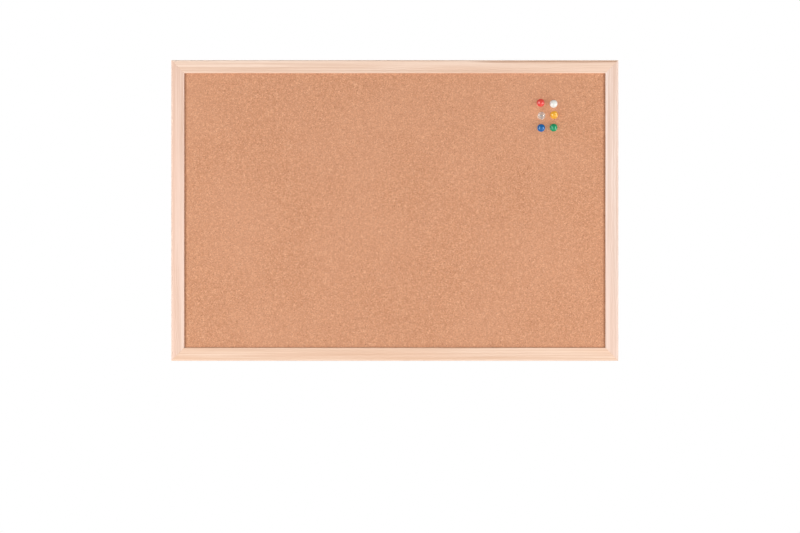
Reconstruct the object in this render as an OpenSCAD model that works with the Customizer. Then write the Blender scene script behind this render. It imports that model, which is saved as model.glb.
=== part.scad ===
// Cork bulletin board: a grooved and mitred pine frame around a cork-faced panel, hung on two
// keyhole plates let into the back, with six push pins in the cork.
//
// Frame of reference: the origin is on the wall plane, midway between the two hanging holes.
// +X is right as you face the cork, +Z is up, and the cork faces -Y.

/* [Board] */
// Width over the frame
board_w = 580; // [480:10:900]
// Height over the frame
board_h = 390; // [340:10:600]

/* [Frame rails] */
// Width of a rail's face
rail_w = 17; // [17:0.5:25]
// Depth of a rail, from the wall to its face
rail_d = 15; // [15:0.5:20]
// How far the cork lies behind the rails' face
cork_setback = 2.5; // [2:0.1:3]
// Depth of the groove that holds the panel
groove_depth = 5; // [4:0.5:5]
// Radius of the outer front edge
outer_edge_r = 2; // [1:0.1:2]
// Radius of the inner front edge
inner_edge_r = 0.8; // [0.4:0.1:1.2]
// Radius of the outer back edge
back_edge_r = 0.6; // [0.3:0.1:0.8]

/* [Panel] */
// Thickness of the cork sheet
cork_t = 2; // [1.5:0.1:2.5]
// Thickness of the softboard core
core_t = 7.6; // [7.2:0.1:8]
// Thickness of the kraft liner on the back
liner_t = 0.4; // [0.2:0.1:0.5]
// Play between the panel's edge and the bottom of the groove
panel_play = 0.5; // [0.2:0.1:1]

/* [Corner staples] */
// Width of the crown, across the mitre
crown_w = 10; // [9:0.5:11]
// Length of the legs
leg_len = 8; // [6:0.5:10]
// Width of the flat wire
wire_w = 1.2; // [0.9:0.1:1.4]
// Thickness of the flat wire
wire_t = 0.6; // [0.4:0.1:0.8]
// How far the crown is driven below the back
staple_set = 0.2; // [0.1:0.1:0.5]
// Distance of the first and second staple from the outer edges
staple_insets = [6, 10.5]; // [5:0.5:11]

/* [Keyhole hangers] */
// Height from the hanging holes to the top of the frame
hang_drop = 45; // [40:5:80]
// Distance from the frame's side to the line of the hole
hanger_inset = 7; // [6.8:0.1:7]
// Width of the plate
plate_w = 11; // [10:0.5:11]
// Length of the plate
plate_len = 38; // [38:1:44]
// Thickness of the plate
plate_t = 1; // [0.8:0.1:1.2]
// Radius of the hole that the wall screw's head enters
entry_r = 3.5; // [3.2:0.1:3.6]
// Width of the slot that the wall screw's shank rises in
slot_w = 3.6; // [3:0.1:4]
// Rise from the entry hole to the end of the slot
slot_rise = 8; // [6:0.5:9]
// Radius of the pocket behind the plate
pocket_r = 3.8; // [3.7:0.1:3.9]
// Depth of the pocket from the back
pocket_depth = 6; // [5:0.5:8]
// Gap all round between the plate and its recess
plate_gap = 0.15; // [0.1:0.05:0.3]

/* [Hanger screws] */
// Distance of each screw from the plate's middle
screw_offset = 14; // [14:0.5:15]
// Radius of the countersunk head
screw_head_r = 2.5; // [2.3:0.1:2.7]
// Radius of the shank
screw_r = 1.25; // [1:0.05:1.4]
// Length of the screw
screw_len = 11; // [9:0.5:12]

/* [Push pins] */
// Radius of the collar that meets the cork
collar_r = 5.1; // [4.8:0.1:5.5]
// Thickness of the collar
collar_t = 1.8; // [1.5:0.1:2]
// Radius of the waist at its narrowest
waist_r = 2.4; // [2.1:0.1:2.6]
// Radius of the head
head_r = 4.3; // [4:0.1:4.8]
// Height of the head's underside above the collar's foot
head_foot = 8.6; // [8:0.1:9]
// Height of the whole grip
grip_h = 12.6; // [12:0.1:13.5]
// Radius of the needle
needle_r = 0.55; // [0.5:0.05:0.6]
// Length of needle that the grip leaves bare
needle_bare = 8.5; // [7:0.1:8.6]

/* [Hidden] */
$fn = 64;
NOTHING = 0.01;     // past a surface, so that a cut goes right through it
CUT = 2;            // a cutter's reach outside the work
HOLE_PLAY = 0.05;   // radial play of a needle or a screw in its hole
PIN_GAP = 0.1;      // between a pin's collar and the cork

panel_t = cork_t + core_t + liner_t;
back_lip = rail_d - cork_setback - panel_t;
cork_face = rail_d - cork_setback;
panel_w = board_w - 2 * (rail_w - groove_depth + panel_play);
panel_h = board_h - 2 * (rail_w - groove_depth + panel_play);
centre_z = hang_drop - board_h / 2;
hanger_x = board_w / 2 - hanger_inset;
plate_mid = slot_rise / 2;
screw_head_h = screw_head_r - screw_r;
screw_tip = 2.5;
screw_recess = [0.7, 2.9, 1];
waist_curve_r = 10;
head_dome_r = 5.6;
head_edge_r = 1;
needle_socket = 6;
needle_tip = 2.5;

WOOD = "#f5d9c3";
WOOD_WARM = "#f3cfae";
CORK = "#d99e7c";
SOFTBOARD = "#b59c7c";
KRAFT = "#b68d62";
STEEL = "#c8cacc";

// Each pin's name, its colour, and where its needle goes in: right of and above the board's middle
PINS = [
    ["red",    "#e6463f", 189.0, 139.5],
    ["white",  "#f6f5ee", 205.8, 138.2],
    ["clear",  "#efe9de", 190.0, 122.8],
    ["yellow", "#fab42d", 206.4, 123.8],
    ["blue",   "#0064af", 189.7, 107.0],
    ["green",  "#00a064", 205.8, 107.5]
];

// ---- placing ----

// From the board's middle to the hanging holes' frame
module from_middle() {
    translate([0, 0, centre_z]) children();
}

// Stands a flat outline, drawn as seen from the front, on the wall plane and draws it out towards -Y
module out_from_wall(start, reach) {
    translate([0, -start, 0]) rotate([90, 0, 0]) linear_extrude(reach) children();
}

// Turns a shape that rises along +Z so that it rises towards -Y from a height above the wall
module rising_from_wall(height) {
    translate([0, -height, 0]) rotate([90, 0, 0]) children();
}

// ---- frame ----

// What rounding takes off a corner that lies at the origin, with its sides along +x and +y
module round_waste(r) {
    difference() {
        translate([-CUT, -CUT]) square(r + CUT);
        translate([r, r]) circle(r = r);
    }
}

// A rail's section: x runs inboard from the outer edge, and y from the wall to the face
module rail_section() {
    difference() {
        square([rail_w, rail_d]);
        translate([rail_w - groove_depth, back_lip]) square([groove_depth + CUT, panel_t]);
        round_waste(back_edge_r);
        translate([0, rail_d]) mirror([0, 1]) round_waste(outer_edge_r);
        translate([rail_w, rail_d]) rotate(180) round_waste(inner_edge_r);
    }
}

// A rail along X with its outer edge at z = 0, mitred at both ends
module mitred_rail(length) {
    half = length / 2;
    intersection() {
        translate([-half, 0, 0]) rotate([0, -90, 180]) linear_extrude(length) rail_section();
        out_from_wall(-CUT, rail_d + 2 * CUT)
            polygon([[-half, 0], [half, 0], [half - rail_w, rail_w], [rail_w - half, rail_w]]);
    }
}

module top_rail() {
    color(WOOD) difference() {
        translate([0, 0, hang_drop]) rotate([0, 180, 0]) mitred_rail(board_w);
        staple_slots();
    }
}

module bottom_rail() {
    color(WOOD_WARM) difference() {
        translate([0, 0, hang_drop - board_h]) mitred_rail(board_w);
        staple_slots();
    }
}

// A side rail: side is -1 on the left and 1 on the right
module side_rail(side) {
    color(WOOD) difference() {
        from_middle() translate([side * board_w / 2, 0, 0]) rotate([0, -90 * side, 0]) mitred_rail(board_h);
        staple_slots();
        hanger_seat(side);
    }
}

// The recess, the pocket and the screw holes that a hanger needs in its rail
module hanger_seat(side) {
    translate([side * hanger_x, 0, 0]) {
        translate([0, 0, plate_mid])
            out_from_wall(-CUT, CUT + plate_t) stadium(plate_w + 2 * plate_gap, plate_len + 2 * plate_gap);
        translate([0, 0, slot_rise / 2])
            out_from_wall(-CUT, CUT + pocket_depth) stadium(2 * pocket_r, slot_rise + 2 * pocket_r);
        plate_screws(HOLE_PLAY);
    }
}

// ---- panel ----

// One layer of the panel, from a height above the wall, with its needle holes cut to their depth
module layer(start, thickness) {
    difference() {
        from_middle() out_from_wall(start, thickness) square([panel_w, panel_h], center = true);
        for (pin = PINS)
            at_pin(pin) rotate([180, 0, 0])
                translate([0, 0, -CUT]) cylinder(r = needle_r + HOLE_PLAY, h = CUT + needle_bare + HOLE_PLAY);
    }
}

module cork_sheet() {
    color(CORK) layer(cork_face - cork_t, cork_t);
}

module softboard_core() {
    color(SOFTBOARD) layer(back_lip + liner_t, core_t);
}

module back_liner() {
    color(KRAFT) layer(back_lip, liner_t);
}

// ---- corner staples ----

// The staple as seen along the mitre: its crown at y = 0 and its legs down -y
module staple_outline() {
    inside_w = crown_w - 2 * wire_t;
    difference() {
        translate([-crown_w / 2, -leg_len]) square([crown_w, leg_len]);
        translate([-inside_w / 2, -leg_len - CUT]) square([inside_w, leg_len + CUT - wire_t]);
        for (side = [-1, 1])
            translate([side * crown_w / 2, 0]) rotate(side > 0 ? 180 : 270) round_waste(wire_t);
    }
}

// Draws an outline out to the wire's width at every staple's place, across the mitres of all four corners
module at_staples() {
    from_middle()
        for (right = [-1, 1], up = [-1, 1], inset = staple_insets)
            translate([right * (board_w / 2 - inset), -staple_set, up * (board_h / 2 - inset)])
                rotate([0, 45 * right * up, 0]) linear_extrude(wire_w, center = true) children();
}

module corner_staples() {
    color(STEEL) at_staples() staple_outline();
}

// What the driven staples leave in the rails: each slot is open to the back over the whole crown
module staple_slots() {
    at_staples() {
        staple_outline();
        translate([-crown_w / 2, -wire_t]) square([crown_w, wire_t + staple_set + CUT]);
    }
}

// ---- hangers ----

// An upright slot with round ends, centred, of a width and an overall length
module stadium(width, length) {
    straight = length - width;
    square([width, straight], center = true);
    for (end = [-1, 1])
        translate([0, end * straight / 2]) circle(d = width);
}

// A keyhole plate whose entry hole is at the origin
module keyhole_plate() {
    difference() {
        out_from_wall(0, plate_t) difference() {
            translate([0, plate_mid]) stadium(plate_w, plate_len);
            circle(r = entry_r);
            translate([-slot_w / 2, 0]) square([slot_w, slot_rise]);
            translate([0, slot_rise]) circle(d = slot_w);
        }
        plate_screws(HOLE_PLAY);
    }
}

// A countersunk screw from the wall plane towards -Y, or the hole that it needs
module screw_shape(grow) {
    rising_from_wall(0) {
        cylinder(r1 = screw_head_r + grow, r2 = screw_r + grow, h = screw_head_h);
        translate([0, 0, screw_head_h - NOTHING])
            cylinder(r = screw_r + grow, h = screw_len - screw_tip - screw_head_h + NOTHING);
        translate([0, 0, screw_len - screw_tip]) cylinder(r1 = screw_r + grow, r2 = 0.2, h = screw_tip);
    }
}

// The two screws of one plate
module plate_screws(grow) {
    for (end = [-1, 1])
        translate([0, 0, plate_mid + end * screw_offset]) screw_shape(grow);
}

module left_hanger() {
    color(STEEL) translate([-hanger_x, 0, 0]) keyhole_plate();
}

module right_hanger() {
    color(STEEL) translate([hanger_x, 0, 0]) keyhole_plate();
}

// The screws of both plates, with a cross recess in each head
module hanger_screws() {
    color(STEEL)
        for (side = [-1, 1])
            translate([side * hanger_x, 0, 0]) difference() {
                plate_screws(0);
                for (end = [-1, 1], turn = [0, 90])
                    translate([0, 0, plate_mid + end * screw_offset]) rising_from_wall(-NOTHING)
                        rotate(turn) translate([0, 0, screw_recess[2] / 2]) cube(screw_recess, center = true);
            }
}

// ---- push pins ----

// Puts a pin's foot where its needle enters the cork, with its axis towards -Y
module at_pin(pin) {
    from_middle() translate([pin[2], 0, pin[3]]) rising_from_wall(cork_face) children();
}

// Half the section of a grip: x out from the axis, y up from the collar's foot
module grip_section() {
    collar_edge = collar_t / 2;
    difference() {
        union() {
            square([collar_r - collar_edge, collar_t]);
            translate([collar_r - collar_edge, collar_edge]) circle(r = collar_edge);
            difference() {
                square([head_r - head_edge_r, head_foot + head_edge_r]);
                translate([waist_r + waist_curve_r, (collar_t + head_foot) / 2]) circle(r = waist_curve_r);
            }
            intersection() {
                union() {
                    translate([0, head_foot]) square([head_r - head_edge_r, grip_h - head_foot]);
                    translate([0, head_foot + head_edge_r]) square([head_r, grip_h - head_foot]);
                    translate([head_r - head_edge_r, head_foot + head_edge_r]) circle(r = head_edge_r);
                }
                translate([0, grip_h - head_dome_r]) circle(r = head_dome_r);
            }
        }
        translate([-grip_h, -CUT]) square([grip_h, grip_h + 2 * CUT]);
        translate([-CUT, -CUT]) square([CUT + needle_r, CUT + needle_socket]);
    }
}

module pin_grip(pin) {
    color(pin[1]) at_pin(pin) translate([0, 0, PIN_GAP]) rotate_extrude() grip_section();
}

module pin_needle(pin) {
    color(STEEL) at_pin(pin) translate([0, 0, PIN_GAP - needle_bare]) {
        cylinder(r1 = 0.08, r2 = needle_r, h = needle_tip);
        translate([0, 0, needle_tip]) cylinder(r = needle_r, h = needle_bare + needle_socket - needle_tip);
    }
}

// ---- the board ----

top_rail();
bottom_rail();
side_rail(-1);  // left_rail
side_rail(1);  // right_rail
cork_sheet();
softboard_core();
back_liner();
corner_staples();
left_hanger();
right_hanger();
hanger_screws();
for (pin = PINS) {
    pin_grip(pin);
    pin_needle(pin);
}
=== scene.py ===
"""The looks of the cork bulletin board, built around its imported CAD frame.

Everything is in metres in the row frame: the cork faces -Y, +Z is up, and the wall is the plane y = 0.
The rails, the cork sheet and the pins' grips are rebuilt here in finer meshes. The other nodes are the
CAD's own, with materials, and the hangers, their screws and the staples get softened edges.
"""

import itertools
import math

import bmesh
import bpy
import numpy as np
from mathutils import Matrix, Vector


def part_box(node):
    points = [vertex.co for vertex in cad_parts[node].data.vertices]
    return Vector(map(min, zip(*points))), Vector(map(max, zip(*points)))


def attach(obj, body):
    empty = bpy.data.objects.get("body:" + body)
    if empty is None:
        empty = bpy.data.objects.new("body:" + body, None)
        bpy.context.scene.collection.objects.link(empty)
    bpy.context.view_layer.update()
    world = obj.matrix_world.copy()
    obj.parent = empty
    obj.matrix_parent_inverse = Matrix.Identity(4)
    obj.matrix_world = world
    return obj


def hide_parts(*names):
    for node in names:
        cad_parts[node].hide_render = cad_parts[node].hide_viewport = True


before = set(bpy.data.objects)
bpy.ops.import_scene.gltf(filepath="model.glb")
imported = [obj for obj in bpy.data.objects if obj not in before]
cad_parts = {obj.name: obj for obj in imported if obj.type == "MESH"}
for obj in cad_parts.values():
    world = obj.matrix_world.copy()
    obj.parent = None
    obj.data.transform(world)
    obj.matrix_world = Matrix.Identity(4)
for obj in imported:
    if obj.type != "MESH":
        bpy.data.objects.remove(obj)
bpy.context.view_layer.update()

MM = 0.001
MERGE_DISTANCE = 0.0005 * MM
CAD_MERGE_DISTANCE = 0.001 * MM
X, Z = Vector((1, 0, 0)), Vector((0, 0, 1))
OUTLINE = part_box("bottom_rail")[0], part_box("top_rail")[1]
PINS = ("red", "white", "clear", "yellow", "blue", "green")

# The rails' edges, as part.scad rounds them
OUTER_EDGE_R = 2 * MM
INNER_EDGE_R = 0.8 * MM
BACK_EDGE_R = 0.6 * MM
PANEL_PLAY = 0.5 * MM
MITRE_CHAMFER = 0.15 * MM

# The corner staples, as part.scad drives them
CROWN_W = 10 * MM
WIRE_W = 1.2 * MM
WIRE_T = 0.6 * MM
LEG_LEN = 8 * MM
STAPLE_SET = 0.2 * MM
STAPLE_INSETS = (6 * MM, 10.5 * MM)

# The hangers' seats, as part.scad cuts them
PLATE_GAP = 0.15 * MM
POCKET_R = 3.8 * MM
POCKET_DEPTH = 6 * MM
SLOT_RISE = 8 * MM
CUT = 2 * MM

# The cork's surface: broad unevenness, crumbs, and pits where the crumbs' field passes PIT_FROM
CORK_SEED = 7
CORK_PITCH = 1.5 * MM
CORK_RELIEF = 0.05 * MM
CORK_PIT = 0.25 * MM
PIT_FROM = 2.1
BROAD_PASSES = 30
CRUMB_PASSES = 1
HOLE_PLAY = 0.05 * MM

# A grip's section, as part.scad draws it
COLLAR_T = 1.8 * MM
WAIST_R = 2.4 * MM
WAIST_CURVE_R = 10 * MM
HEAD_R = 4.3 * MM
HEAD_FOOT = 8.6 * MM
HEAD_EDGE_R = 1 * MM
HEAD_DOME_R = 5.6 * MM
SOFT_CORNER_R = 0.35 * MM
GATE_R = 0.9 * MM
GATE_DEPTH = 0.12 * MM
SEAM_HEIGHT = 0.04 * MM
SEAM_SPREAD = 0.025
SEAM_STEP = 0.02
GRIP_SIDES = 72
WAIST_STEPS = 12
DOME_STEPS = 24

# The plastics' colours; the clear pin has a material of its own
PLASTICS = {
    "red": (0.78, 0.060, 0.047),
    "white": (0.79, 0.775, 0.725),
    "yellow": (0.88, 0.42, 0.028),
    "blue": (0.003, 0.125, 0.38),
    "green": (0.004, 0.30, 0.115),
}

# How far the edges of the CAD nodes that stay are broken
SOFT_EDGES = {
    "left_hanger": 0.12 * MM,
    "right_hanger": 0.12 * MM,
    "corner_staples": 0.10 * MM,
    "hanger_screws": 0.06 * MM,
}

# The light: brightness is about what a lamp gives a white surface that faces it, and lamps stand as
# (degrees round from the front, degrees up, metres away, metres wide and high). PIN_SHADOW is the share
# of the front lamps' light that the pins' grips block: the photo's pins cast very faint shadows.
AMBIENT = 0.26
FRONT_BRIGHTNESS = 0.755
FRONT_PLACE = 55, -8, 2, (0.45, 1.9)
BACK_BRIGHTNESS = 0.62
BACK_PLACE = 140, 45, 2.2, (1.2, 1.5)
PIN_SHADOW = 0.3

# The floor, a disc that glows to white at its rim
FLOOR_R = 7
FLOOR_SIDES = 96
FLOOR_DROP = 1.2
FLOOR_GLOW = 0.38
GLOW_START_R = 1.5
GLOW_END_R = 0.95 * FLOOR_R

# The camera, from the photo's framing: it sees VIEW_WIDTH across at the face of the frame
SENSOR_WIDTH = 36
CAMERA_DISTANCE = 2.8
VIEW_WIDTH = 1.0368
AIM_RIGHT = 0.0067
AIM_BELOW = 0.0727


# ---- meshes ----

def new_object(name, mesh):
    made = bpy.data.objects.new(name, mesh)
    bpy.context.scene.collection.objects.link(made)
    return made


def edit(mesh, merge_at):
    """Merges a mesh's doubled points and turns its faces outwards."""
    work = bmesh.new()
    work.from_mesh(mesh)
    bmesh.ops.remove_doubles(work, verts=work.verts, dist=merge_at)
    bmesh.ops.recalc_face_normals(work, faces=work.faces)
    work.to_mesh(mesh)
    work.free()


def mesh_from(name, points, faces):
    mesh = bpy.data.meshes.new(name)
    mesh.from_pydata([tuple(p) for p in points], [], faces)
    edit(mesh, MERGE_DISTANCE)
    return mesh


def shade_smooth(piece, sharp_from=30):
    """Shades a piece smooth up to its corners, and keeps its flat faces flat."""
    piece.data.shade_smooth()
    piece.data.set_sharp_from_angle(angle=math.radians(sharp_from))
    piece.modifiers.new("flat_faces", "WEIGHTED_NORMAL").keep_sharp = True


def rounded(corners, steps=8):
    """The outline through (x, y, radius) corners, each rounded to its radius."""
    outline = []
    for i, (x, y, radius) in enumerate(corners):
        corner = Vector((x, y))
        if not radius:
            outline.append(corner)
            continue
        back = (Vector(corners[i - 1][:2]) - corner).normalized()
        on = (Vector(corners[(i + 1) % len(corners)][:2]) - corner).normalized()
        half = back.angle(on) / 2
        centre = corner + (back + on).normalized() * radius / math.sin(half)
        start = (corner + back * radius / math.tan(half) - centre).normalized()
        end = (corner + on * radius / math.tan(half) - centre).normalized()
        outline += [centre + radius * start.slerp(end, k / steps) for k in range(steps + 1)]
    return outline


def inset(outline, distance):
    """A clockwise outline moved inwards by a distance."""
    moved = []
    for i, point in enumerate(outline):
        arriving = (point - outline[i - 1]).normalized()
        leaving = (outline[(i + 1) % len(outline)] - point).normalized()
        inward = Vector((arriving.y + leaving.y, -arriving.x - leaving.x)).normalized()
        moved.append(point + inward * distance / max(0.5, inward.dot((arriving.y, -arriving.x))))
    return moved


def skin(rings, closed_ends=True):
    """The points and faces of a tube through rings that have as many points each."""
    count = len(rings[0])
    points = [p for ring in rings for p in ring]
    faces = [
        (a * count + i, a * count + (i + 1) % count, (a + 1) * count + (i + 1) % count, (a + 1) * count + i)
        for a in range(len(rings) - 1)
        for i in range(count)
    ]
    if closed_ends:
        faces += [tuple(range(count)), tuple(range(len(points) - count, len(points)))]
    return points, faces


def upright_slot(width, length):
    """A slot with round ends, centred, as an outline in x and z."""
    corners = [(-1, -1), (-1, 1), (1, 1), (1, -1)]
    return rounded([(x * width / 2, z * length / 2, width / 2) for x, z in corners], steps=20)


def prism(outline, origin, y_start, y_end):
    """A cutter from a flat outline in x and z, carried from one y to another."""
    rings = [[origin + Vector((p.x, y, p.y)) for p in outline] for y in (y_start, y_end)]
    return new_object("cutter", mesh_from("cutter", *skin(rings)))


def cad_cutter(node):
    """A cutter of a CAD node's own shape."""
    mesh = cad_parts[node].data.copy()
    edit(mesh, CAD_MERGE_DISTANCE)
    return new_object("cutter", mesh)


def staple_slots():
    """Cutters for the staples' slots, which cross the mitres and are open to the back over the crowns."""
    half, under, foot = CROWN_W / 2, -STAPLE_SET - WIRE_T, -STAPLE_SET - LEG_LEN
    outline = [
        (-half, CUT), (half, CUT), (half, foot), (half - WIRE_T, foot),
        (half - WIRE_T, under), (WIRE_T - half, under), (WIRE_T - half, foot), (-half, foot),
    ]
    slots = []
    for x_side, z_side in itertools.product((0, 1), (0, 1)):
        right, up = 2 * x_side - 1, 2 * z_side - 1
        outer = Vector((OUTLINE[x_side].x, 0, OUTLINE[z_side].z))
        crown, wire = (X - right * up * Z).normalized(), (right * up * X + Z).normalized()
        for from_corner in STAPLE_INSETS:
            middle = outer - from_corner * (right * X + up * Z)
            rings = [
                [middle + u * crown + Vector((0, y, 0)) + side * wire * WIRE_W / 2 for u, y in outline]
                for side in (-1, 1)
            ]
            slots.append(new_object("cutter", mesh_from("cutter", *skin(rings))))
    return slots


def cut(piece, cutters):
    """Takes the cutters' shapes out of a piece, and removes the cutters."""
    for cutter in cutters:
        boolean = piece.modifiers.new("cut", "BOOLEAN")
        boolean.operation, boolean.solver, boolean.object = "DIFFERENCE", "EXACT", cutter
    graph = bpy.context.evaluated_depsgraph_get()
    piece.data = bpy.data.meshes.new_from_object(piece.evaluated_get(graph), depsgraph=graph)
    piece.modifiers.clear()
    for cutter in cutters:
        bpy.data.objects.remove(cutter)


# ---- materials ----

class Material:
    """A material whose nodes are made and linked by short calls."""

    def __init__(self, name, tree=None):
        self.data = tree or bpy.data.materials.new(name)
        self.data.use_nodes = True
        self.tree = self.data.node_tree
        self.shader = self.tree.nodes.get("Principled BSDF")

    def feed(self, socket, value):
        if isinstance(value, bpy.types.NodeSocket):
            self.tree.links.new(value, socket)
        else:
            socket.default_value = value

    def add(self, kind, inputs, **settings):
        """Makes a node, with inputs as {name or place: value or socket}."""
        node = self.tree.nodes.new("ShaderNode" + kind)
        for name, value in settings.items():
            setattr(node, name, value)
        for key, value in inputs.items():
            self.feed(node.inputs[key], value)
        return node

    def finish(self, **inputs):
        """Feeds the Principled shader; an underscore stands for a space in a socket's name."""
        for name, value in inputs.items():
            self.feed(self.shader.inputs[name.replace("_", " ")], value)
        return self.data

    def place(self, order="xyz", offset=(0, 0, 0)):
        """The point's own coordinates in metres, reordered, then moved."""
        parts = self.add("SeparateXYZ", {0: self.add("TexCoord", {}).outputs["Object"]})
        chosen = {i: parts.outputs["xyz".index(axis)] for i, axis in enumerate(order)}
        joined = self.add("CombineXYZ", chosen).outputs[0]
        return self.stretch(joined, (1, 1, 1), offset)

    def stretch(self, vector, scale, offset=(0, 0, 0)):
        return self.add("Mapping", {"Vector": vector, "Location": offset, "Scale": scale}).outputs[0]

    def noise(self, vector, scale, detail=2, roughness=0.5):
        inputs = {"Vector": vector, "Scale": scale, "Detail": detail, "Roughness": roughness}
        return self.add("TexNoise", inputs).outputs[0]

    def warp(self, vector, scale, amount):
        """A vector pushed about by noise, up to half an amount each way."""
        push = self.add("TexNoise", {"Vector": vector, "Scale": scale, "Detail": 1}).outputs[1]
        centred = self.add("VectorMath", {0: push, 1: (0.5, 0.5, 0.5)}, operation="SUBTRACT").outputs[0]
        inputs = {0: centred, 1: (amount,) * 3, 2: vector}
        return self.add("VectorMath", inputs, operation="MULTIPLY_ADD").outputs[0]

    def cells(self, vector, scale, feature="F1"):
        return self.add("TexVoronoi", {"Vector": vector, "Scale": scale}, feature=feature)

    def math(self, operation, *values):
        return self.add("Math", dict(enumerate(values)), operation=operation).outputs[0]

    def span(self, value, low, high, to_low=0, to_high=1):
        """Turns low to high into to_low to to_high, smoothly, and holds the ends."""
        inputs = {"Value": value, "From Min": low, "From Max": high, "To Min": to_low, "To Max": to_high}
        return self.add("MapRange", inputs, interpolation_type="SMOOTHSTEP").outputs[0]

    def ramp(self, value, stops):
        """A colour ramp through (place, value or colour) stops."""
        node = self.add("ValToRGB", {0: value})
        points = node.color_ramp.elements
        while len(points) < len(stops):
            points.new(0.5)
        for point, (where, colour) in zip(points, stops):
            point.position = where
            point.color = (*((colour,) * 3 if isinstance(colour, (int, float)) else colour), 1)
        return node.outputs[0]

    def tint(self, cells):
        """The three channels of the colour that each cell has to itself."""
        return self.add("SeparateXYZ", {0: cells.outputs["Color"]}).outputs

    def mix(self, factor, a, b, blend="MIX"):
        node = self.add("Mix", {0: factor}, data_type="RGBA", blend_type=blend)
        for socket, value in ((node.inputs[6], a), (node.inputs[7], b)):
            self.feed(socket, (*value, 1) if isinstance(value, tuple) else value)
        return node.outputs[2]

    def bump(self, height, distance, under=None):
        """A bump of a height from 0 to 1 that stands for a distance in metres, on top of another."""
        inputs = {"Height": height, "Distance": distance, "Strength": 1}
        return self.add("Bump", inputs | ({"Normal": under} if under else {})).outputs["Normal"]


def wear(piece, material):
    """Gives a piece one material."""
    piece.data.materials.clear()
    piece.data.materials.append(material)


def pine(name, order, seed, tint, brown_line=None):
    """Planed pine whose grain runs along the first axis of the order, cut far from the tree's pith."""
    m = Material(name)
    place = m.place(order, offset=(seed * 1.7, 0, 0))
    along, across, depth = m.add("SeparateXYZ", {0: place}).outputs

    drift = m.noise(m.stretch(place, (2.2, 14, 14)), 1, detail=1)
    pith = (0, -0.055 - 0.004 * seed, 0.030)
    section = m.stretch(place, (0, 1, 1))
    from_pith = m.add("VectorMath", {0: section, 1: pith}, operation="DISTANCE").outputs["Value"]
    turns = m.math("MULTIPLY_ADD", from_pith, 520, m.math("MULTIPLY", drift, 3.2))
    uneven = m.noise(m.stretch(place, (0.6, 1, 1)), 130, detail=0)
    ring = m.math("FRACT", m.math("ADD", turns, uneven))
    latewood = m.ramp(ring, [(0, 0), (0.45, 0.10), (0.84, 1), (0.97, 0)])
    strength = m.span(m.noise(m.stretch(place, (4, 110, 110)), 1, detail=1), 0.35, 0.68, 0.12, 1)
    dark = m.math("MULTIPLY", latewood, strength)

    fibre_place = m.stretch(place, (0.016, 1, 1))
    fibres = m.noise(fibre_place, 2600, detail=3, roughness=0.6)
    streaks = m.noise(m.stretch(place, (0.012, 1, 1)), 420, detail=2)
    tone = m.noise(m.stretch(place, (3.5, 60, 60)), 1, detail=2)

    wood = m.mix(m.span(tone, 0.3, 0.7), (0.800, 0.560, 0.415), (0.835, 0.640, 0.505))
    wood = m.mix(m.math("MULTIPLY", dark, 0.86), wood, (0.560, 0.325, 0.195))
    wood = m.mix(m.span(streaks, 0.42, 0.72, 0, 0.65), wood, (0.660, 0.425, 0.290))
    wood = m.mix(m.span(fibres, 0.3, 0.75, 0, 0.24), wood, (0.560, 0.350, 0.225))
    if brown_line:
        start, level, half_width = brown_line
        wander = m.noise(m.stretch(place, (14, 1, 1)), 1, detail=1)
        off_line = m.math("SUBTRACT", across, m.math("MULTIPLY_ADD", wander, 1.2 * MM, level - 0.6 * MM))
        on_line = m.span(m.math("ABSOLUTE", off_line), 0.25 * half_width, half_width, 1, 0)
        begun = m.span(along, start + seed * 1.7, start + seed * 1.7 + 0.05)
        wood = m.mix(m.math("MULTIPLY", m.math("MULTIPLY", on_line, begun), 0.75), wood, (0.36, 0.165, 0.080))
    arris = m.add("Attribute", {}, attribute_name="arris").outputs["Fac"]
    # Paler, glossier wood along the rounded edges: partly wear from rubbing, partly a painted highlight where
    # the edges catch the light.
    rubbed_and_highlight = m.math("MULTIPLY", arris, m.span(m.noise(place, 90, detail=3), 0.3, 0.6, 0.25, 0.6))
    wood = m.mix(rubbed_and_highlight, wood, (0.87, 0.68, 0.53))
    wood = m.mix(1.0, wood, tint, blend="MULTIPLY")

    height = m.math("MULTIPLY_ADD", dark, 0.5, m.math("MULTIPLY", fibres, 0.8))
    rough = m.math("MULTIPLY_ADD", fibres, 0.18, m.math("MULTIPLY_ADD", rubbed_and_highlight, -0.12, 0.47))
    return m.finish(Base_Color=wood, Roughness=rough, Specular_IOR_Level=0.32,
                    Normal=m.bump(height, 0.05 * MM))


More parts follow.
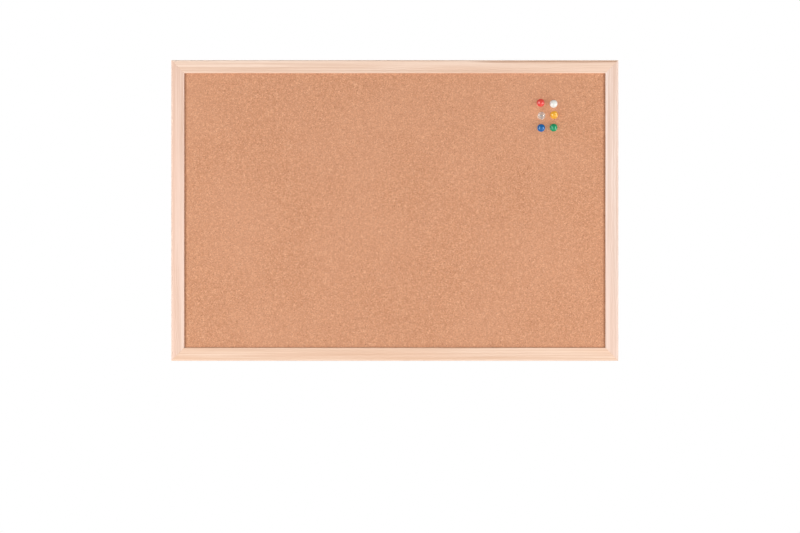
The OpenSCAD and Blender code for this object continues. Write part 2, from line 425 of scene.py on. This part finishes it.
def agglomerated_cork():
    """Pressed cork crumbs of two sizes, dark bark specks, pale specks and the gaps between crumbs."""
    m = Material("cork")
    place = m.place()
    crumbled = m.warp(place, 620, 1.1 * MM)
    large = m.cells(crumbled, 640)
    small = m.cells(m.warp(place, 1100, 0.5 * MM), 1150)
    large_tint, small_tint = m.tint(large), m.tint(small)
    large_edge = m.cells(crumbled, 640, "DISTANCE_TO_EDGE").outputs["Distance"]
    fine = m.noise(place, 2400, detail=3, roughness=0.65)
    clumps = m.noise(place, 600, detail=0)
    broad = m.noise(place, 9, detail=3)

    palette = [(0, (0.560, 0.258, 0.135)), (0.25, (0.681, 0.331, 0.179)),
               (0.6, (0.753, 0.380, 0.214)), (1, (0.855, 0.477, 0.293))]
    cork = m.mix(m.span(m.noise(place, 260, detail=1), 0.4, 0.6),
                 m.ramp(large_tint[0], palette), m.ramp(small_tint[0], palette))
    cork = m.mix(m.span(large_edge, 0, 0.10, 0.42, 0), cork, (0.36, 0.155, 0.080))
    cork = m.mix(m.span(clumps, 0.32, 0.68, 0.46, 0), cork, (0.43, 0.190, 0.100))
    cork = m.mix(m.span(fine, 0.32, 0.70, 0.52, 0), cork, (0.43, 0.190, 0.105))

    bark = m.cells(m.warp(place, 800, 0.9 * MM), 400)
    bark_tint = m.tint(bark)[0]
    bark_reach = m.math("MULTIPLY_ADD", fine, 0.3, bark.outputs["Distance"])
    bark_here = m.math("MULTIPLY", m.span(bark_reach, 0.29, 0.38, 1, 0),
                       m.math("GREATER_THAN", bark_tint, 0.66))
    cork = m.mix(m.math("MULTIPLY", bark_here, 0.80), cork, (0.24, 0.090, 0.045))
    pale_here = m.math("MULTIPLY", m.span(bark_reach, 0.33, 0.45, 1, 0),
                       m.math("LESS_THAN", bark_tint, 0.22))
    cork = m.mix(m.math("MULTIPLY", pale_here, 0.34), cork, (0.84, 0.54, 0.37))
    cork = m.mix(m.span(broad, 0.3, 0.7, 0, 0.20), cork, (0.665, 0.345, 0.215))

    crumb_height = m.math("MULTIPLY_ADD", large_tint[1], 0.5, m.span(large_edge, 0, 0.22, 0, 0.5))
    height = m.math("SUBTRACT", crumb_height, m.math("MULTIPLY", bark_here, 0.3))
    under = m.bump(height, 0.14 * MM)
    return m.finish(Base_Color=cork, Roughness=m.span(fine, 0.3, 0.7, 0.78, 0.94), Specular_IOR_Level=0.22,
                    Normal=m.bump(fine, 0.10 * MM, under))


def kraft_paper():
    """Brown liner paper: matted fibres, the faint lines of its making, stray flecks and a slight cockle."""
    m = Material("kraft_paper")
    place = m.place("xzy")
    fibres = m.noise(m.stretch(m.warp(place, 75, 16 * MM), (0.25, 1, 1)), 1500, detail=3, roughness=0.6)
    clouds = m.noise(place, 230, detail=4, roughness=0.6)
    lines = m.noise(m.stretch(place, (0.015, 1, 1)), 800, detail=2)
    flecks = m.noise(m.stretch(m.warp(place, 110, 18 * MM), (0.3, 1, 1)), 700, detail=1)
    cockle = m.noise(m.stretch(place, (1, 0.6, 1)), 11, detail=2)
    paper = m.mix(m.span(fibres, 0.3, 0.7), (0.420, 0.262, 0.140), (0.495, 0.322, 0.184))
    paper = m.mix(m.span(clouds, 0.35, 0.75, 0, 0.45), paper, (0.560, 0.378, 0.228))
    paper = m.mix(m.span(lines, 0.45, 0.75, 0, 0.25), paper, (0.370, 0.225, 0.118))
    paper = m.mix(m.span(flecks, 0.68, 0.76, 0, 0.5), paper, (0.200, 0.106, 0.052))
    paper = m.mix(m.span(cockle, 0.35, 0.7, 0, 0.22), paper, (0.345, 0.205, 0.105))
    under = m.bump(cockle, 1.5 * MM)
    return m.finish(Base_Color=paper, Roughness=m.span(fibres, 0.3, 0.7, 0.66, 0.82),
                    Specular_IOR_Level=0.25, Normal=m.bump(fibres, 0.03 * MM, under))


def wood_fibre_board():
    """Softboard: felted grey-brown wood fibres."""
    m = Material("softboard")
    place = m.place()
    matted = m.noise(m.warp(place, 260, 2 * MM), 900, detail=4, roughness=0.65)
    chips = m.cells(m.stretch(place, (0.5, 1, 1)), 500)
    board = m.mix(m.span(matted, 0.3, 0.7), (0.300, 0.205, 0.120), (0.520, 0.400, 0.270))
    board = m.mix(m.span(m.tint(chips)[0], 0.7, 1, 0, 0.4), board, (0.210, 0.130, 0.072))
    return m.finish(Base_Color=board, Roughness=m.span(matted, 0.3, 0.7, 0.85, 0.97),
                    Specular_IOR_Level=0.2, Normal=m.bump(matted, 0.3 * MM))


def zinc_plated_steel():
    """Bright zinc on pressed steel: mottled, finely scratched and duller in patches."""
    m = Material("zinc_steel")
    place = m.place()
    mottle = m.noise(place, 420, detail=3)
    scratches = m.noise(m.stretch(place, (1, 1, 0.05)), 3600, detail=2)
    dull = m.noise(place, 110, detail=2)
    metal = m.mix(m.span(mottle, 0.3, 0.7), (0.600, 0.610, 0.625), (0.760, 0.765, 0.770))
    metal = m.mix(m.span(dull, 0.52, 0.75, 0, 0.5), metal, (0.420, 0.425, 0.430))
    rough = m.math("MULTIPLY_ADD", scratches, 0.22, m.span(dull, 0.35, 0.75, 0.20, 0.42))
    under = m.bump(mottle, 0.02 * MM)
    return m.finish(Base_Color=metal, Metallic=1.0, Roughness=rough,
                    Normal=m.bump(scratches, 0.008 * MM, under))


def drawn_needle_steel():
    """Polished wire with faint lines from drawing along its length."""
    m = Material("needle_steel")
    place = m.place()
    lines = m.noise(m.stretch(place, (1, 0.02, 1)), 9000, detail=2)
    film = m.noise(place, 500, detail=2)
    metal = m.mix(m.span(lines, 0.3, 0.7), (0.560, 0.565, 0.575), (0.790, 0.795, 0.800))
    rough = m.math("MULTIPLY_ADD", lines, 0.14, m.span(film, 0.3, 0.7, 0.12, 0.24))
    return m.finish(Base_Color=metal, Metallic=1.0, Roughness=rough, Normal=m.bump(lines, 0.004 * MM))


def moulded_plastic(colour_name, colour):
    """Glossy moulded polystyrene: a little flow marking, paler scuffed patches and a faint ripple."""
    m = Material(colour_name + "_plastic")
    place = m.place()
    flow = m.noise(m.warp(place, 160, 3 * MM), 330, detail=2)
    rubs = m.noise(m.stretch(place, (1, 0.3, 1)), 1700, detail=3, roughness=0.6)
    deeper = tuple(0.86 * c for c in colour)
    paint = m.mix(m.span(flow, 0.3, 0.7), colour, deeper)
    paint = m.mix(m.span(rubs, 0.60, 0.80, 0, 0.12), paint, tuple(0.6 * c + 0.25 for c in colour))
    rough = m.span(rubs, 0.50, 0.90, 0.08, 0.24)
    return m.finish(Base_Color=paint, Roughness=rough, IOR=1.59, Specular_IOR_Level=0.55,
                    Normal=m.bump(flow, 0.02 * MM))


def clear_plastic():
    """Water-clear polystyrene with a warm tinge, which lets most of the light that falls on it through."""
    m = Material("clear_plastic")
    place = m.place()
    flow = m.noise(m.warp(place, 160, 3 * MM), 330, detail=2)
    rubs = m.noise(m.stretch(place, (1, 0.3, 1)), 1700, detail=3, roughness=0.6)
    tinge = m.mix(m.span(flow, 0.3, 0.7), (0.76, 0.75, 0.72), (0.70, 0.68, 0.65))
    m.finish(Base_Color=tinge, Roughness=m.span(rubs, 0.4, 0.8, 0.03, 0.18), IOR=1.57,
             Transmission_Weight=0.78, Normal=m.bump(flow, 0.03 * MM))
    shadow = m.add("LightPath", {}).outputs["Is Shadow Ray"]
    through = m.add("BsdfTransparent", {0: (0.93, 0.91, 0.87, 1)}).outputs[0]
    both = m.add("MixShader", {0: shadow, 1: m.shader.outputs[0], 2: through}).outputs[0]
    m.feed(m.tree.nodes["Material Output"].inputs["Surface"], both)
    return m.data


# ---- frame rails ----

def rail_section():
    """A rail's section: x runs inboard from the outer edge, and y from the wall to the face."""
    low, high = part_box("top_rail")
    width, depth = high.z - low.z, high.y - low.y
    groove_bottom = high.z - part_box("cork_sheet")[1].z - PANEL_PLAY
    groove_back, groove_front = -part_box("back_liner")[1].y, -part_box("cork_sheet")[0].y
    return rounded([
        (0, 0, BACK_EDGE_R),
        (0, depth, OUTER_EDGE_R),
        (width, depth, INNER_EDGE_R),
        (width, groove_front, 0),
        (groove_bottom, groove_front, 0),
        (groove_bottom, groove_back, 0),
        (width, groove_back, 0),
        (width, 0, 0),
    ])


def mark_arris(mesh, outer, inboard):
    """Writes how near each point is to the middle of a rounded edge, for the edge's worn look and painted
    highlight.
    """
    low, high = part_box("top_rail")
    width, depth = high.z - low.z, high.y - low.y
    edges = [(0, 0, BACK_EDGE_R), (0, depth, OUTER_EDGE_R), (width, depth, INNER_EDGE_R)]
    arris = mesh.attributes.new("arris", "FLOAT", "POINT")
    for i, vertex in enumerate(mesh.vertices):
        x, y = (vertex.co - outer).dot(inboard), -vertex.co.y
        for edge_x, edge_y, radius in edges:
            a, b = abs(x - edge_x), abs(y - edge_y)
            if max(a, b) < 1.01 * radius:
                arris.data[i].value = 1 - abs(a - b) / radius


def rail(name, outer, along, inboard, length, material, hanger=None):
    """A rail from the middle of its outer edge, mitred at both ends, with a hair's chamfer at each mitre."""
    section = rail_section()
    tip, body = (inset(section, MITRE_CHAMFER), 0), (section, MITRE_CHAMFER)
    rings = []
    for end, (outline, back_off) in ((-1, tip), (-1, body), (1, body), (1, tip)):
        rings.append([
            outer + along * end * (length / 2 - p.x - back_off) + inboard * p.x - Vector((0, p.y, 0))
            for p in outline
        ])
    piece = new_object(name + "_pine", mesh_from(name, *skin(rings)))
    cutters = staple_slots()
    if hanger:
        low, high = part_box(hanger)
        middle, size = (low + high) / 2, high - low
        plate = upright_slot(size.x + 2 * PLATE_GAP, size.z + 2 * PLATE_GAP)
        pocket = upright_slot(2 * POCKET_R, SLOT_RISE + 2 * POCKET_R)
        cutters += [
            prism(plate, Vector((middle.x, 0, middle.z)), CUT, -size.y),
            prism(pocket, Vector((middle.x, 0, SLOT_RISE / 2)), CUT, -POCKET_DEPTH),
            cad_cutter("hanger_screws"),
        ]
    cut(piece, cutters)
    mark_arris(piece.data, outer, inboard)
    shade_smooth(piece)
    wear(piece, material)
    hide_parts(name)
    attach(piece, "board")


def rails():
    low, high = OUTLINE
    middle, size = (low + high) / 2, high - low
    line_level = high.z - 2.4 * MM
    rail("top_rail", Vector((middle.x, 0, high.z)), X, -Z, size.x,
         pine("pine_top", "xzy", 1, (1.03, 1.05, 1.10), brown_line=(0.085, line_level, 1.4 * MM)))
    rail("bottom_rail", Vector((middle.x, 0, low.z)), X, Z, size.x,
         pine("pine_bottom", "xzy", 2, (1.02, 1.00, 1.00)))
    rail("left_rail", Vector((low.x, 0, middle.z)), Z, X, size.z,
         pine("pine_left", "zxy", 3, (1.01, 1.02, 1.11)), "left_hanger")
    rail("right_rail", Vector((high.x, 0, middle.z)), Z, -X, size.z,
         pine("pine_right", "zxy", 4, (1.02, 1.09, 1.24)), "right_hanger")


# ---- panel ----

def blurred(field, passes):
    """A field smoothed with its neighbours a few times and brought back to a spread of 1."""
    for _ in range(passes):
        for axis in (0, 1):
            field = (np.roll(field, 1, axis) + 2 * field + np.roll(field, -1, axis)) / 4
    return field / field.std()


def cork_depths(rows, columns):
    """How far each grid point of the cork lies below its highest face: an uneven surface with small pits."""
    rng = np.random.default_rng(CORK_SEED)
    uneven, crumbs = (
        blurred(rng.standard_normal((rows, columns)), passes) for passes in (BROAD_PASSES, CRUMB_PASSES)
    )
    depths = CORK_RELIEF * np.clip(1.2 + 0.4 * uneven + 0.8 * crumbs, 0, 4)
    depths += CORK_PIT * np.clip(crumbs - PIT_FROM, 0, 0.8)
    depths[[0, -1], :] = 0
    depths[:, [0, -1]] = 0
    return depths


def cork_sheet():
    """The cork: a fine grid with relief in front, four edges, a plain back and the needles' holes."""
    low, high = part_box("cork_sheet")
    size = high - low
    columns, rows = (int(side / CORK_PITCH) + 1 for side in (size.x, size.z))
    xs, zs = np.linspace(low.x, high.x, columns), np.linspace(low.z, high.z, rows)
    depths = cork_depths(rows, columns)
    points = [(x, low.y + depths[r, c], z) for r, z in enumerate(zs) for c, x in enumerate(xs)]
    faces = [
        (r * columns + c, r * columns + c + 1, (r + 1) * columns + c + 1, (r + 1) * columns + c)
        for r in range(rows - 1)
        for c in range(columns - 1)
    ]
    corners = [0, columns - 1, rows * columns - 1, (rows - 1) * columns]
    back = [len(points) + i for i in range(4)]
    points += [(points[i][0], high.y, points[i][2]) for i in corners]
    steps = [1, columns, -1, -columns]
    for i, (start, step) in enumerate(zip(corners, steps)):
        end = corners[(i + 1) % 4]
        faces.append((*range(start, end + (1 if step > 0 else -1), step), back[(i + 1) % 4], back[i]))
    faces.append(tuple(back))
    piece = new_object("cork_face", mesh_from("cork_face", points, faces))
    holes = []
    for colour in PINS:
        needle_low, needle_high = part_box(colour + "_pin_needle")
        middle, radius = (needle_low + needle_high) / 2, (needle_high.x - needle_low.x) / 2 + HOLE_PLAY
        outline = upright_slot(2 * radius, 2 * radius)
        holes.append(prism(outline, Vector((middle.x, 0, middle.z)), low.y - CUT, high.y + CUT))
    cut(piece, holes)
    piece.data.shade_smooth()
    piece.data.set_sharp_from_angle(angle=math.radians(50))
    wear(piece, agglomerated_cork())
    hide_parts("cork_sheet")
    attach(piece, "board")


# ---- push pins ----

def grip_profile(height, collar_r):
    """A grip's profile as (distance from the axis, height above the foot), from the foot to the top."""
    waist_middle = (COLLAR_T + HEAD_FOOT) / 2
    waist = []
    for k in range(WAIST_STEPS + 1):
        h = COLLAR_T + (HEAD_FOOT - COLLAR_T) * k / WAIST_STEPS
        waist.append((WAIST_R + WAIST_CURVE_R - math.sqrt(WAIST_CURVE_R**2 - (h - waist_middle) ** 2), h, 0))
    waist[0] = (*waist[0][:2], SOFT_CORNER_R)
    waist[-1] = (*waist[-1][:2], SOFT_CORNER_R)
    dome_middle = height - HEAD_DOME_R
    rim = math.asin(HEAD_R / HEAD_DOME_R)
    dome = []
    for k in range(DOME_STEPS + 1):
        angle = rim * (1 - k / DOME_STEPS)
        out = HEAD_DOME_R * math.sin(angle)
        gate = GATE_DEPTH * (1 - min(1, out / GATE_R) ** 2) ** 2
        dome.append((out, dome_middle + HEAD_DOME_R * math.cos(angle) - gate, 0))
    dome[0] = (*dome[0][:2], SOFT_CORNER_R / 2)
    corners = [(0, 0, 0), (collar_r, 0, COLLAR_T / 2), (collar_r, COLLAR_T, COLLAR_T / 2)]
    corners += waist + [(HEAD_R, HEAD_FOOT, HEAD_EDGE_R)] + dome
    return rounded(corners, steps=6)


def grip(colour, material):
    """A push pin's grip, turned about the needle's axis, with the mould's two fine seams."""
    name = colour + "_pin_grip"
    low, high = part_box(name)
    middle = (low + high) / 2
    profile = grip_profile(high.y - low.y, (high.x - low.x) / 2)
    half = GRIP_SIDES // 2
    near_seam = [seam + k * SEAM_STEP for seam in (0, math.pi) for k in range(-4, 5)]
    between = [k * math.tau / GRIP_SIDES for k in range(-half, half) if k % half not in (0, 1, half - 1)]
    rings = []
    for angle in sorted(near_seam + between):
        off_seam = abs(math.sin(angle))
        lowered = SEAM_HEIGHT * (1 - math.exp(-((off_seam / SEAM_SPREAD) ** 2)))
        rings.append([
            Vector((middle.x + max(0, p.x - lowered) * math.cos(angle), high.y - p.y,
                    middle.z + max(0, p.x - lowered) * math.sin(angle)))
            for p in profile
        ])
    points, faces = skin(rings + rings[:1], closed_ends=False)
    count = len(profile)
    faces = [face for i, face in enumerate(faces) if i % count != count - 1]
    piece = new_object(colour + "_grip", mesh_from(name, points, faces))
    shade_smooth(piece, sharp_from=50)
    wear(piece, material)
    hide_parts(name)
    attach(piece, colour + "_pin")


def pins():
    for colour in PINS:
        grip(colour, moulded_plastic(colour, PLASTICS[colour]) if colour in PLASTICS else clear_plastic())


# ---- CAD nodes that stay ----

def soften(node, width):
    """Breaks a CAD node's sharp edges by a bevel of a width."""
    weld = node.modifiers.new("weld", "WELD")
    weld.merge_threshold = CAD_MERGE_DISTANCE
    whole = node.modifiers.new("whole_faces", "DECIMATE")
    whole.decimate_type, whole.angle_limit = "DISSOLVE", math.radians(1)
    bevel = node.modifiers.new("edges", "BEVEL")
    bevel.width, bevel.segments, bevel.angle_limit = width, 2, math.radians(40)
    node.modifiers.new("flat_faces", "WEIGHTED_NORMAL").keep_sharp = True


def cad_nodes():
    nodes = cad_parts
    wear(nodes["back_liner"], kraft_paper())
    wear(nodes["softboard_core"], wood_fibre_board())
    zinc = zinc_plated_steel()
    for name, width in SOFT_EDGES.items():
        wear(nodes[name], zinc)
        soften(nodes[name], width)
    wire = drawn_needle_steel()
    for colour in PINS:
        wear(nodes[colour + "_pin_needle"], wire)


# ---- studio ----

def softbox(name, target, brightness, azimuth, elevation, distance, size):
    """A soft lamp aimed at a target."""
    around, up = math.radians(azimuth), math.radians(elevation)
    away = Vector((math.sin(around) * math.cos(up), -math.cos(around) * math.cos(up), math.sin(up)))
    lamp = bpy.data.lights.new(name, "AREA")
    lamp.shape, lamp.size, lamp.size_y = "RECTANGLE", *size
    lamp.energy = brightness * (math.pi * distance) ** 2
    made = new_object(name, lamp)
    made.location = target + away * distance
    made.rotation_euler = (-away).to_track_quat("-Z", "Y").to_euler()
    made.visible_camera = False
    return made


def let_past(lamp, pieces):
    """Keeps some pieces from casting a shadow from a lamp."""
    passed = bpy.data.collections.new(lamp.name + "_passes")
    for piece in pieces:
        passed.objects.link(piece)
    for entry in passed.collection_objects:
        entry.light_linking.link_state = "EXCLUDE"
    lamp.light_linking.blocker_collection = passed


def surroundings():
    """White where the camera looks past the object, and an even pale grey where it lights."""
    world = bpy.data.worlds.new("studio")
    bpy.context.scene.world = world
    m = Material("studio", tree=world)
    seen = m.add("LightPath", {}).outputs["Is Camera Ray"]
    strength = m.math("MULTIPLY_ADD", seen, 1 - AMBIENT, AMBIENT)
    background = m.tree.nodes["Background"]
    m.feed(background.inputs["Color"], (1, 1, 1, 1))
    m.feed(background.inputs["Strength"], strength)


def studio_floor(level):
    """A pale floor well below the board, which fades to white towards its rim."""
    ring = [Vector((FLOOR_R * math.cos(a), FLOOR_R * math.sin(a), level))
            for a in (k * math.tau / FLOOR_SIDES for k in range(FLOOR_SIDES))]
    floor = new_object("floor", mesh_from("floor", ring, [tuple(range(FLOOR_SIDES))]))
    m = Material("pale_floor")
    clouds = m.noise(m.place(), 3, detail=4)
    pale = m.mix(m.span(clouds, 0.3, 0.7), (0.24, 0.24, 0.24), (0.27, 0.27, 0.27))
    from_middle = m.add("VectorMath", {0: m.place()}, operation="LENGTH").outputs["Value"]
    glow = m.span(from_middle, GLOW_START_R, GLOW_END_R, FLOOR_GLOW, 1)
    wear(floor, m.finish(Base_Color=pale, Roughness=0.8, Emission_Color=(1, 1, 1, 1), Emission_Strength=glow))


def camera(target):
    """The photograph's view: square on to the board, aimed a little below its middle and to its right."""
    data = bpy.data.cameras.new("camera")
    data.sensor_width = SENSOR_WIDTH
    data.lens = data.sensor_width * CAMERA_DISTANCE / VIEW_WIDTH
    made = new_object("camera", data)
    made.location = (target.x + AIM_RIGHT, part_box("top_rail")[0].y - CAMERA_DISTANCE, target.z - AIM_BELOW)
    made.rotation_euler = (math.radians(90), 0, 0)
    bpy.context.scene.camera = made


def studio():
    middle = (OUTLINE[0] + OUTLINE[1]) / 2
    grips = [bpy.data.objects[colour + "_grip"] for colour in PINS]
    front_azimuth, *front_rest = FRONT_PLACE
    back_azimuth, *back_rest = BACK_PLACE
    for side, name in ((-1, "left"), (1, "right")):
        shadowing, passing = FRONT_BRIGHTNESS * PIN_SHADOW, FRONT_BRIGHTNESS * (1 - PIN_SHADOW)
        softbox(name + "_softbox", middle, shadowing, side * front_azimuth, *front_rest)
        let_past(softbox(name + "_fill_softbox", middle, passing, side * front_azimuth, *front_rest), grips)
        softbox(name + "_back_softbox", middle, BACK_BRIGHTNESS, side * back_azimuth, *back_rest)
    surroundings()
    studio_floor(OUTLINE[0].z - FLOOR_DROP)
    camera(middle)
    bpy.context.scene.view_settings.view_transform = "Standard"


rails()
cork_sheet()
pins()
cad_nodes()
studio()

bpy.context.view_layer.update()
